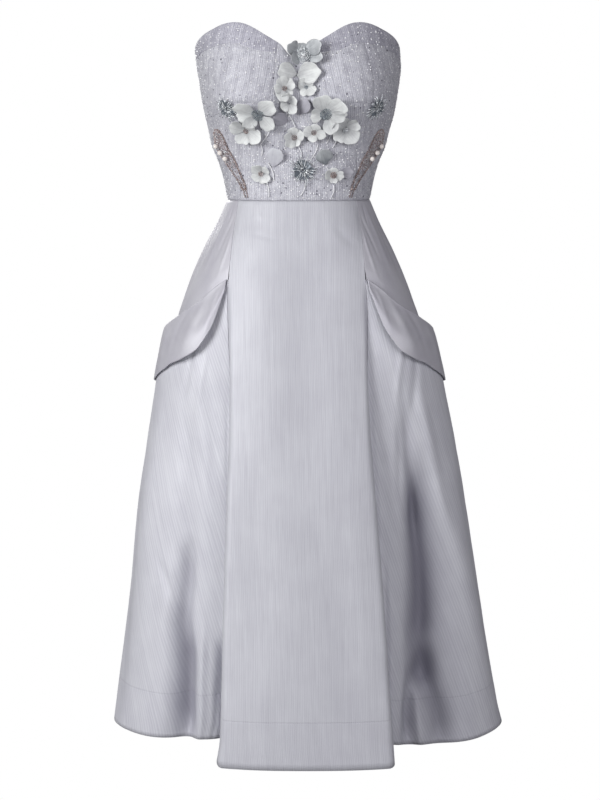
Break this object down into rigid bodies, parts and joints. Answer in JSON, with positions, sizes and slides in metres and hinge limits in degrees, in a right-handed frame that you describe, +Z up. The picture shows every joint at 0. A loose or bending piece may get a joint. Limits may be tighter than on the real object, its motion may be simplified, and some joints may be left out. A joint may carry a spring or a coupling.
{
  "type": "strapless dress",
  "caption": "Strapless mid-calf dress with a sweetheart bodice, appliqued flowers, folded skirt panel and cuffed hip pockets, hollow and in its worn shape.",
  "frame": {"origin": "centre of the waist seam, inside the dress, where the wearer's waist holds it", "axes": "+Z up towards the neckline, -Y out of the centre front, +X to the viewer's right"},
  "size_m": [0.6171, 0.4834, 1.0942],
  "materials": {
    "ribbed_faille": "silver-lilac faille with fine close ribs and a soft sheen",
    "smooth_satin": "smooth silver-lilac satin",
    "beaded_net": "grey-lilac satin under fine net with scattered sequins",
    "pale_petal": "pale satin petals",
    "lilac_petal": "lilac-grey satin petals",
    "grey_beads": "close grey and silver beads",
    "copper_beads": "close copper and mauve beads",
    "pearl": "off-white pearls",
    "nickel": "nickel-plated metal"
  },
  "bodies": {
    "dress": {"bodice_front": "beaded_net", "bodice_gore": "beaded_net", "cup_lower_l": "beaded_net", "cup_band_l": "beaded_net", "bodice_side_l": "beaded_net", "bodice_back_l": "beaded_net", "cup_lower_r": "beaded_net", "cup_band_r": "beaded_net", "bodice_side_r": "beaded_net", "bodice_back_r": "beaded_net", "skirt_front": "ribbed_faille", "skirt_hip_l": "smooth_satin", "skirt_side_l": "ribbed_faille", "pocket_cuff_l": "smooth_satin", "skirt_back_l": "ribbed_faille", "skirt_hip_r": "smooth_satin", "skirt_side_r": "ribbed_faille", "pocket_cuff_r": "smooth_satin", "skirt_back_r": "ribbed_faille", "bloom_top": "grey_beads", "petal_top_l": "pale_petal", "petal_top_r": "pale_petal", "bloom_neck_l": "pale_petal", "bloom_neck_r": "pale_petal", "bloom_mid": "pale_petal", "bloom_large_l": "pale_petal", "bloom_large_r": "pale_petal", "bloom_side_l": "pale_petal", "bloom_side_r": "pale_petal", "bloom_small_l": "pale_petal", "bloom_small_r": "pale_petal", "petal_mid_r": "lilac_petal", "petal_mid_l": "lilac_petal", "petal_low_l": "lilac_petal", "petal_low_r": "lilac_petal", "bloom_low_l": "pale_petal", "bloom_low_r": "pale_petal", "petal_low_side": "lilac_petal", "bead_burst_l": "grey_beads", "bead_burst_r": "grey_beads", "bead_burst_mid": "grey_beads", "beaded_drop_l": "copper_beads", "pearl_l_1": "pearl", "pearl_l_2": "pearl", "pearl_l_3": "pearl", "beaded_drop_r": "copper_beads", "pearl_r_1": "pearl", "pearl_r_2": "pearl", "pearl_r_3": "pearl", "zip_slider": "nickel"},
    "zip_pull": {"zip_pull": "nickel"}
  },
  "joints": [
    {"name": "zip_pull_swing", "type": "hinge", "parent": "dress", "child": "zip_pull", "pos_m": [0, 0.10927, 0.1875], "axis": [1, 0, 0], "range_deg": [0, 165]}
  ]
}
